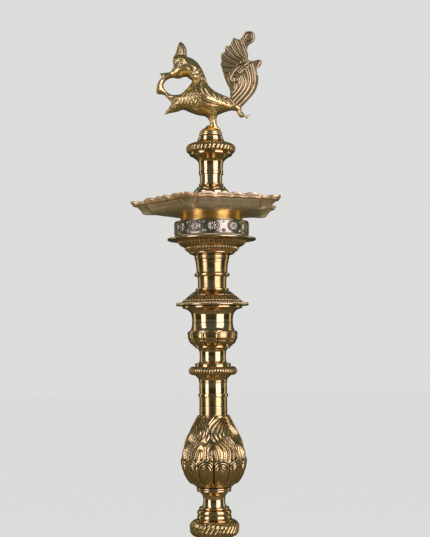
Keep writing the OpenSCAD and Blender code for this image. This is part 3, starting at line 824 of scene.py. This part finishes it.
def select_points(obj, chosen):
    pick(obj)
    bpy.ops.object.mode_set(mode="EDIT")
    bpy.ops.mesh.select_mode(type="VERT")
    bpy.ops.mesh.select_all(action="DESELECT")
    bpy.ops.object.mode_set(mode="OBJECT")
    obj.data.vertices.foreach_set("select", chosen.astype(bool))


# The bird from the side: x is ahead (-) or behind (+) of its leg, z is above its foot's seat
BIRD_EDGE = (
    (-36.5, 125.4), (-27.2, 121.2), (-18.6, 114), (-12.2, 103.9), (-7.9, 93.9), (-2.9, 79.6),
    (5.7, 71), (17.2, 64.6), (26, 61), (33, 57.5), (42, 50.5), (49, 44.6), (48.6, 40),
    (52.5, 34.6), (55, 31.4), (58.4, 32.2), (62.6, 33.8), (60, 31), (57.8, 27.2),
    (55.4, 27.4), (54, 30.4), (49, 28.4), (45.4, 30.2), (43, 34), (40.4, 38.8),
    (31.5, 40.2), (17.2, 35.9), (11.5, 33), (9.6, 28), (9.8, 21), (11.4, 15), (15.6, 9.4),
    (-6, 9.4), (-2, 15.4), (-1.2, 20.6), (-3.2, 26.6), (-8.6, 31.8), (-20, 33.8),
    (-31.5, 37.8), (-43, 42.6), (-50, 39.8), (-61, 37.4), (-72.6, 35), (-66.4, 43.4),
    (-61.4, 52), (-66.5, 59.4), (-74, 66), (-84, 67.8), (-84.4, 77), (-81.6, 85.6),
    (-76.6, 92), (-76.6, 95.6), (-79.4, 99.4), (-71, 99.8), (-62.4, 101.2), (-57.6, 109),
    (-58.4, 118.6), (-57.3, 124.6), (-53.4, 132.6), (-50.4, 142.6), (-46.8, 148.6),
    (-41.4, 145.6), (-37.2, 138), (-36.2, 130))
BIRD_LOOP = (
    (-72.8, 84), (-68.4, 89.2), (-59.5, 92.6), (-49, 91.2), (-42.5, 94), (-37.5, 94.6),
    (-33.5, 91.4), (-29.5, 89.2), (-28, 86.5), (-31.5, 80.4), (-36.4, 74.6), (-44.4, 66.9),
    (-51, 64.8), (-61.6, 65.6), (-70.6, 72.6), (-73.6, 78.6))
WING_EDGE = ((-17, 88), (-22, 78), (-21.5, 66), (-14, 56), (-1, 49.5), (14, 46), (30, 43.2))
WING_BED = [*WING_EDGE, (36, 46), (30, 57), (17, 64), (-3, 77), (-9, 88)]
WING_LINES = (
    ((-25, 84), (-27.5, 74), (-25.5, 62), (-17, 51), (-3, 44.5), (12, 42.5)),
    ((-7, 80), (-7.5, 72), (-4, 64), (1, 57)), ((-12, 82), (-14, 73), (-10.5, 63.5), (-5, 56.5)),
    ((1, 73), (4, 65), (8.5, 57), (12, 52)), ((9, 69), (12, 61), (16, 54), (19, 50.5)),
    ((16, 66), (19, 59), (23, 52), (26, 48.5)), ((23, 62.5), (27, 55), (32, 48)),
    ((31, 58), (35, 51), (39, 45)), ((-3, 78), (6, 68), (18, 61), (30, 56)))
NECK_LINES = (
    ((-12, 98), (-19, 90), (-24, 80)), ((-9, 92), (-13, 86)), ((-16, 104), (-24, 95), (-29, 86)),
    ((-32, 76), (-36, 68), (-36, 58)), ((-38, 72), (-43, 63)), ((-30, 70), (-31, 60), (-26, 50)))
BROW = ((-60.5, 103.5), (-57, 107), (-54.5, 114.5), (-48, 119.2), (-41, 117.6), (-36.5, 111.5),
        (-29.5, 106.8), (-23.5, 105))
CHEEK = ((-61, 100.5), (-53, 104.4), (-45, 106.4), (-38, 104), (-31, 99.2), (-25.5, 98.8))
EYE = (-44.5, 112)
CREST_VEIN = ((-46.5, 144), (-45.5, 134), (-46, 124))
CREST_LINES = (((-54, 126), (-50, 138), (-48, 146)), ((-39.4, 126), (-40, 137), (-43.5, 144.5)))
STEM_LINES = (
    ((5, 38), (9, 32), (6.6, 27.4), (2.4, 30), (5, 33)), ((0, 37), (1.5, 28), (2, 18)),
    ((-76, 90), (-79, 80), (-79.5, 70)), ((-64, 55), (-58, 47), (-69, 37.5)),
    ((-55, 60), (-52, 50), (-55, 42)), ((45, 40), (50, 31), (57, 30)))
SCALE_W, SCALE_H = 5.4, 4.6   # one breast scale


def ring_round(centre, radius, count=14):
    return [(centre[0] + radius * math.cos(a), centre[1] + radius * math.sin(a))
            for a in np.linspace(0, TAU, count)]


def bird_thickness(x, z, puff):
    """Half the bird's thickness: a soft body, with its wing, neck, face and scales raised."""
    crest = step_up(z, 119, 127) * step_up(-x, 20, 34)
    loop_stem = step_up(-x, 58, 66) * step_up(z, 48, 60)
    half = puff * (1 - 0.62 * crest) * (1 + 0.12 * loop_stem)
    half = half - 1.6 * inside_of(x, z, WING_BED)
    full = np.clip(puff / 3.0, 0, 1)
    marks = 2.6 * strokes(x, z, [WING_EDGE], 1.5) + 2.2 * strokes(x, z, WING_LINES, 1.2)
    marks += 1.5 * strokes(x, z, NECK_LINES, 1.2)
    marks += 1.8 * strokes(x, z, [BROW], 1.3) + 1.5 * strokes(x, z, [CHEEK], 1.2)
    marks += 1.1 * strokes(x, z, [ring_round(EYE, 3.6)], 0.8, 0) + 1.2 * ridge(
        np.hypot(x - EYE[0], z - EYE[1]), 1.5)
    breast = step_up(-x, 12, 20) * (1 - step_up(z, 62, 68)) * step_up(z, 40, 44)
    row = np.floor(z / SCALE_H)
    across = (x / SCALE_W + 0.5 * (row % 2)) % 1.0 - 0.5
    scale = np.hypot(across * SCALE_W, (z / SCALE_H - row - 0.9) * SCALE_H)
    marks += 0.9 * breast * ridge(scale - 2.6, 0.6)
    vein = strokes(x, z, [CREST_VEIN], 1.3)
    marks += 1.6 * vein + 0.9 * strokes(x, z, CREST_LINES, 1.0)
    marks += 1.2 * strokes(x, z, STEM_LINES, 0.9)
    return half + marks * full


def make_peacock():
    body = plaque("peacock_body", (BIRD_EDGE, BIRD_LOOP), 0.62, bird_thickness)
    dome = lathe("bird_foot", [(0, 0)] + outline(
        17.6, 0, bead(3.0, 0.5), sweep(12.6, 7.4, 1.6), sweep(6.0, 5.6, -0.6), line(0, 0)), 96)
    bird_mesh = join("peacock_casting", [body, dome])
    lift(bird_mesh, base_of("peacock"))
    coat(bird_mesh, bird, "bird_brass", "peacock", "peacock", angle=120)


TAIL_EDGE = (
    (30, 45), (30.4, 56), (31.2, 66), (30.6, 74), (27, 81), (24, 88), (21, 97), (18.6, 107),
    (16.8, 112.4), (18.4, 118.4), (16.8, 126.2), (19, 130.4), (23.6, 132), (24.6, 140.6),
    (30.4, 141.4), (33.6, 146), (36.8, 153.6), (44.6, 151.8), (49.4, 153.2), (53.6, 161.2),
    (61, 164.4), (68.6, 162.4), (71.8, 156), (69, 148.4), (61.4, 142.6), (59, 136.5),
    (60.2, 126.6), (60, 119.6), (68, 117.4), (76, 119.2), (81.4, 117), (79.6, 110),
    (73.6, 103.6), (76, 92), (74.6, 79), (69.6, 67.5), (60, 56.4), (51.5, 47.5), (42, 43))
TAIL_FAN = (
    ((32.6, 148), (38.6, 136.5), (47, 126), (57, 119.2)),
    ((26, 140.4), (33, 131), (42, 123.6), (52, 118.6)),
    ((20.8, 130.8), (29, 124.2), (38, 119), (47, 115.6)), ((19, 119.2), (29, 114.8), (41, 111)),
    ((19.6, 108), (30, 106.4), (38.4, 105.4)), ((23, 98), (29.6, 98)),
    ((41, 150), (46, 138.6), (52, 128.6), (58.4, 121)),
    ((49.6, 151.4), (53, 141.6), (56.4, 132), (59.4, 124)))
TAIL_RIBBON = (
    ((61.4, 118), (54, 113), (46.4, 110.6), (39.6, 106), (33.8, 97.6), (30, 90.6), (31.8, 84.6),
     (37, 82)),
    ((60, 122), (54.6, 112), (48.6, 106.4), (45.4, 100.6)),
    ((58.6, 109.6), (51.5, 105.6), (45.4, 99.6)),
    ((37, 84), (42.6, 83.6), (44.4, 88.6), (40.6, 92.4), (35.8, 90.4), (37, 87)))
TAIL_PLUMES = (
    ((37, 96.6), (45, 98), (52.4, 92), (54.4, 82), (50, 71.6), (41.6, 62), (34.6, 55)),
    ((55, 110), (60, 98.4), (61.4, 85), (56.6, 72), (46.6, 60), (37.8, 50.6)),
    ((46, 92), (48.4, 85), (46.6, 77), (40.4, 68.6), (33.8, 61.4)),
    ((40, 80), (38.4, 73.4), (34, 68.4)),
    ((65, 112), (67.8, 99), (68.6, 84), (63.4, 70.6), (53, 57.6), (43, 48)))


def tail_thickness(x, z, puff):
    """Half the tail's thickness: a flat plate with a raised rim, fan, ribbons and plumes."""
    half = np.minimum(puff * 1.1, 1.75)
    inset = np.clip(puff / 2.2, 0, 1)
    rim = ridge(puff - 3.4, 1.1)
    marks = np.maximum(strokes(x, z, TAIL_FAN, 1.15, 0.3), strokes(x, z, TAIL_PLUMES, 1.5, 0.3))
    marks = np.maximum(marks, 1.15 * strokes(x, z, TAIL_RIBBON, 1.4, 0.3))
    marks = np.maximum(marks, 0.8 * rim)
    knob = strokes(x, z, [ring_round((61.4, 154.6), 6.4)], 1.0, 0)
    marks = np.maximum(marks, knob)
    spur = strokes(x, z, [((77.5, 115.6), (72, 106), (73, 96))], 1.2)
    return half + 1.35 * np.maximum(marks, spur) * inset


def make_tail():
    tail = plaque("tail_casting", (TAIL_EDGE,), 0.5, tail_thickness)
    lift(tail, base_of("peacock"))
    coat(tail, feather, "cast_brass", "peacock", "peacock_tail", angle=180)


# ---- column
def make_column():
    points = outline(
        56, 0, bead(2.6, 1.4), line(54.6, 0.4), sweep(45, 4.2, -1.6), bead(1.2, 0.4),
        sweep(35.5, 7.4, -0.6), bead(1.2, 0.4), sweep(28.2, 5.4, 0.2), line(25.4, 1.4),
        bead(3.4, 0.9), line(22.6, 0.5), sweep(23, 17.6, -0.35), line(24.6, 0.5),
        line(27, 0.6), bead(4.4, 0.9), line(24.9, 0.6), line(24.5, 0.3),
        sweep(25.6, 15.5, -0.4), sweep(26.6, 4.6, 0.1), line(26.2, 0.4))
    turned_piece("column_casting", "column", "column", STEM_BORE, points,
                 ovals(52, 4.4, 9.2, 1.1, 38), ovals(32, 9.6, 16.2, 1.3, 30),
                 steps=640, material=carved)
    ring = beads("column_beads", 96, 55.6, base_of("column") + 3.2, 1.7)
    coat(ring, carved, "polished_brass", "column")


# ---- petal vase
def vase_petals(angle, r, z):
    """Ten broad lotus petals with rounded tips that stand away from the vase."""
    u = cell(angle, 10, math.radians(-4.5))
    v = np.clip((z - 80.0) / 23.0, 0, 1)
    wide = np.abs(u)
    plump = np.sqrt(np.clip(1 - wide ** 6.0, 0, 1))
    top = 103.0 - 5.0 * (1 - np.sqrt(np.clip(1 - 0.96 * wide ** 2, 0, 1)))
    tip = 1 - step_up(z, top - 0.5, top + 0.3)
    rim = 0.6 * ridge(z - top + 1.4, 1.1)
    crease = 1.5 * ridge(wide - 0.98, 0.07)
    return ((1.7 * plump * np.sin(math.pi * (0.12 + 0.72 * v)) - crease) + rim) * tip * (r > 24)


def make_petal_vase():
    points = outline(
        23, 0, bead(4.8, 0.5), line(21.6, 0.5), sweep(21.6, 15.5, 0.25), line(22.2, 0.4),
        bead(1.4, 0.5), sweep(27.8, 9, -1.7), sweep(33, 3, -0.6), line(28, 0.6),
        line(28, 12.6), line(27.4, 0.2), bead(2.4, 1.3), line(23.2, 0.6), sweep(21, 4, -0.5),
        sweep(21, 12.5, -0.3), sweep(24.5, 5.4, -0.7), line(27.2, 0.4), bead(3, 0.9),
        line(27.8, 0.3), sweep(33, 22.4, 0.6), line(35.6, 0.3), sweep(32.3, 11.6, -0.9),
        bead(0.9, -0.4), sweep(32.9, 10, -0.5), sweep(36.4, 7, -0.9), sweep(45.5, 4.2, -1.6),
        line(46.4, 0.2), bead(3.6, 0.9), line(45.8, 0.2))
    points = reaching(points, "petal_vase", "column")
    turned_piece("vase_casting", "petal_vase", "petal_vase", STEM_BORE, points)
    disc = outline(32.5, 34.2, sweep(37.4, 4.6, 1.1), sweep(33, 8.6, 2.2), curve=12)
    ring_piece("vase_rope", "petal_vase", "petal_vase", 26, disc,
               rope(48, 0.10, 0.9, 34.6, 47.2, 27), steps=576)
    petals = outline(27, 80.2, sweep(35.6, 8.8, 2.4), sweep(37.6, 7, 0.5),
                     sweep(37.8, 7.2, 0.2), line(36.4, 0.6), line(33.2, -0.6), curve=18)
    ring_piece("lotus_petals", "petal_vase", "petal_vase", 30, petals, vase_petals, steps=400)


# ---- pot
POT_FOOT = 8.4                # heights: the belly's foot, the petals' tips, the leaves' tips
POT_EDGE = 53.0
POT_TOP = 119.5


# Ribs on one side of a big leaf: degrees round from the leaf's middle, height up the leaf (0 to 1)
LOW_LEAF = (((3, 0.0), (1.5, 0.16), (4, 0.30), (11, 0.38), (18.5, 0.32), (24, 0.16), (26, 0.0)),
            ((10, 0.0), (8.5, 0.12), (10.5, 0.21), (14.5, 0.21), (17.5, 0.10), (18.5, 0.0)),
            ((0, 0.44), (3.5, 0.56), (1.5, 0.70), (7, 0.82), (19, 0.92), (30, 0.99)),
            ((0, 0.80), (4, 0.87), (12, 0.95), (16, 1.0)))
LONG_RIB = ((33, 0.0), (34, 0.16), (28, 0.32), (15, 0.46), (8.5, 0.60), (13, 0.74), (27, 0.86),
            (42, 0.96))
LONG_RIBS = 5
RIB_STEP = 6.8                # degrees from one long rib to the next at the leaf's foot
LEAVES = 3


def flames(angle, r, z):
    """Big leaves whose ribs lick up in S curves from the petals to the neck."""
    tall = POT_TOP - POT_EDGE
    s = np.clip((z - POT_EDGE) / tall, -0.2, 1.2)
    part = (s > -0.1) & (s < 1.15) & (r > 12)
    x = np.abs(cell(angle, LEAVES, math.radians(-14))) * math.pi / LEAVES * r
    long_ribs = [[(a + i * RIB_STEP * (1 + 0.7 * t), t) for a, t in LONG_RIB]
                 for i in range(LONG_RIBS)]
    total = np.zeros_like(z)
    for rib in [*LOW_LEAF, *long_ribs]:
        path = [(math.radians(a) * (49.5 - 24 * t ** 1.6), t * tall) for a, t in rib]
        d = near(x[part], (s * tall)[part], curve_through(path), 0.5)
        total[part] = np.maximum(total[part], ridge(d, 1.15) + 0.10 * ridge(d, 2.6))
    total = np.maximum(total, 0.8 * ridge(s * tall - tall + 1.0, 1.2))
    return 1.7 * total * band(s, -0.01, 1.02, 0.01)


def pot_petals(angle, r, z):
    """Twelve lotus petals round the lower half, each with round arches under its tip."""
    u = cell(angle, 12, TAU / 24)
    wide = np.abs(u)
    half, reach = 13.0, 15.5  # half a petal's width, and how far down the arches go
    tip = POT_EDGE - 7.0 * (1 - np.sqrt(np.clip(1 - 0.97 * wide ** 2, 0, 1)))
    body = (1 - step_up(z, tip - 0.6, tip + 0.4)) * step_up(z, POT_FOOT + 1.0, POT_FOOT + 9)
    plump = np.sqrt(np.clip(1 - wide ** 4.0, 0, 1))
    groove = ridge(wide - 0.97, 0.07)
    up = z - (POT_EDGE - reach)
    arch = np.hypot(u * half, np.maximum(up, 0) * 1.0)
    waves = 0.5 + 0.5 * np.cos(TAU * (reach - 1.0 - arch) / 3.6)
    shown = step_up(arch, 3.0, 5.0) * step_up(up, -5.0, 1.0) * (wide < 0.93)
    keel = 0.5 * ridge(u, 0.05) * band(z, POT_FOOT + 6, POT_EDGE - reach - 3, 3)
    return (2.5 * plump - 1.3 * groove + 1.15 * waves * shown + keel) * body * (r > 20)


def make_pot():
    foot = outline(
        26, 0, bead(3.4, 1.2), line(25.4, 0.2), bead(3.4, 2.4), line(27.4, 0.8),
        line(29, 0.6))
    belly = outline(29, 8.4, sweep(47.4, 32, 4.6), curve=20)
    shoulder = outline(
        *belly[-1], sweep(48.6, 12.6, 0.9), sweep(46, 14.5, 0.9), sweep(36.4, 26.5, 1.6),
        sweep(23.6, 25.5, 0.2), curve=32)
    neck = outline(
        23.6, 119.5, line(22, 0.8), sweep(21.8, 14, 0.1), bead(0.8, -0.3),
        sweep(21.7, 12.6, 0.1), line(21.2, 0.5))
    height = base_of("petal_vase") - base_of("pot") - SEAT_GAP
    neck[-1] = (neck[-1][0], height)
    neck[-2] = (neck[-2][0], height - 0.5)
    points = foot + belly[1:] + shoulder[1:] + neck[1:]
    turned_piece("pot_casting", "pot", "pot", STEM_BORE, points, pot_petals, flames, steps=480,
                 material=carved)


# ---- rope knop
def make_rope_knop():
    points = outline(
        31.5, 0, bead(3, 0.8), line(27, 0.6), sweep(28, 16, -1.6), bead(3, 1),
        sweep(32, 3, -0.3), line(30, 0.4), line(30, 24), line(25.6, 0.2),
        bead(7, 1.6), line(25.2, 0.2), bead(7.2, 1.8), line(21.4, 0.6), bead(4.6, 2.6),
        line(19.4, 0.4), sweep(17.3, 7, -0.4), sweep(17.4, 5, -0.1), sweep(23.4, 10.6, -1.6))
    points = reaching(points, "rope_knop", "pot")
    turned_piece("knop_casting", "rope_knop", "rope_knop", STEM_BORE, points)
    disc = outline(32, 25.4, sweep(37.6, 12, 2.2), sweep(31, 12.4, 3), curve=16)
    ring_piece("knop_rope", "rope_knop", "rope_knop", 28, disc,
               rope(28, 0.42, 2.2, 26, 49.4, 29), steps=560)


# ---- lower drum and base
def drum_petals(angle, r, z):
    """Twelve plump lotus petals that point up round the drum."""
    u = cell(angle, 12)
    top = 96 - 8 * np.abs(u) ** 3
    tip = 1 - step_up(z, top, top + 1)
    plump = np.sqrt(np.clip(1 - np.abs(u) ** 2.6, 0, 1))
    return 2.2 * plump * tip * step_up(z, 54.5, 62) * (r > 30)


def make_lower_drum():
    points = outline(
        37, 0, bead(7.6, 1.4), line(30, 0.8), sweep(27, 10, -0.6), sweep(27.6, 8.6, -0.2),
        bead(2.4, 0.8), sweep(44, 14, -3.2), sweep(60.4, 5.2, -1.4), bead(4.6, 1.6),
        line(46, 0.8), sweep(50, 18, 5), sweep(44, 16, 4), sweep(31, 17, 2.4),
        bead(3, 1.2), line(27, 0.6), sweep(25.5, 22, -0.8), bead(2, 1),
        sweep(27, 16, -0.6), curve=16)
    points = reaching(points, "lower_drum", "rope_knop")
    turned_piece("drum_casting", "lower_drum", "lower_drum", HEAVY_BORE, points, drum_petals,
                 steps=384, material=carved)
    ring = beads("drum_beads", 88, 60.4, base_of("lower_drum") + 51.5, 2)
    coat(ring, carved, "polished_brass", "lower_drum")


def make_base():
    bell = outline(
        112, 0, line(112.6, 0.6), bead(3, 1), sweep(92, 24, -4.2), sweep(62, 44, -6),
        sweep(42, 40, -3.2), sweep(34, 31, -1.2), line(37, 0.6), bead(9.6, 4.4),
        line(34, 0.6), sweep(31.4, 10, -0.6), sweep(33.6, 12.6, -0.5), line(33, 0.4),
        curve=20)
    bell = reaching(bell, "base_bell", "lower_drum")
    inside = [(HEAVY_BORE, bell[-1][1]), (HEAVY_BORE, 146), (29, 142), (39, 100),
              (62, 50), (88, 21), (107, 0), (112, 0)]
    obj = lathe("bell_casting", bell + inside, 192)
    lift(obj, base_of("base_bell"))
    coat(obj, polished, "polished_brass", "base", "base_bell")

    foot = outline(
        148, 0, line(152, 0.8), line(152, 11), sweep(149, 3.2, 0.6), line(146, 0.2),
        sweep(129, 14, -2.8), line(128, 0.6), line(124, 0.2), line(124, 19),
        line(128, 0.2), bead(3.4, 1), sweep(116.5, 19.5, -2), line(115.5, 0.7), curve=12)
    stretch = base_of("base_bell") / foot[-1][1]
    foot = [(r, z * stretch) for r, z in foot]
    inside = [(104, foot[-1][1]), (104, 68), (118, 52), (120, 30), (138, 16),
              (144, 0), (148, 0)]
    obj = lathe("foot_casting", foot + inside, 192)
    coat(obj, polished, "polished_brass", "base", "base_foot")
    disc = outline(127, 29.8, sweep(134, 10, 2), sweep(127, 10, 2.6), curve=12)
    ring_piece("foot_rope", "base_foot", "base", 120, disc,
               rope(84, 0.13, 2, 30.4, 49.4, 123), steps=1008)


# ---- studs
def make_stud(node_name, radius, pitch):
    """A threaded stud: a right-hand thread turned down to a short plain end at top and bottom."""
    low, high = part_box(node_name)
    z0, z1 = low[2] / MM, high[2] / MM
    rows = int((z1 - z0) / pitch * 8)
    step = (z1 - z0 - 2) / rows
    moves = [line(radius, 1.0)] + [line(radius, step)] * rows + [line(radius - 1.2, 1.0)]
    points = [(0.0, 0.0)] + outline(radius - 1.2, 0.0, *moves)
    points.append((0.0, points[-1][1]))
    obj = lathe(node_name + "_thread", points, 48)

    def groove(angle, r, z):
        turn = z / pitch - angle / TAU
        return -0.30 * pitch * (1 - np.abs(2 * (turn - np.floor(turn)) - 1)) * (r > radius - 0.2)
    relief(obj, groove)
    lift(obj, z0)
    coat(obj, thread, "thread_brass", node_name, node_name, angle=50)


make_camera()
make_studio()
make_peacock()
make_tail()
make_finial_neck()
make_dish()
make_cup()
make_collar()
make_column()
make_petal_vase()
make_pot()
make_rope_knop()
make_lower_drum()
make_base()
for stud_name in ("drum_stud", "knop_stud"):
    make_stud(stud_name, 10.0, 3.0)
for stud_name in ("pot_stud", "vase_stud", "column_stud", "cup_stud", "dish_stud", "neck_stud"):
    make_stud(stud_name, 8.0, 3.0)
make_stud("peacock_stud", 5.0, 1.5)

# The last nodes from the model keep their shape and take a brass of their own
for row in frame["record"]["subparts"]:
    for place in frame["nodes"][row["node"]].material_slots:
        place.material = COATS[row["material_slot"]]
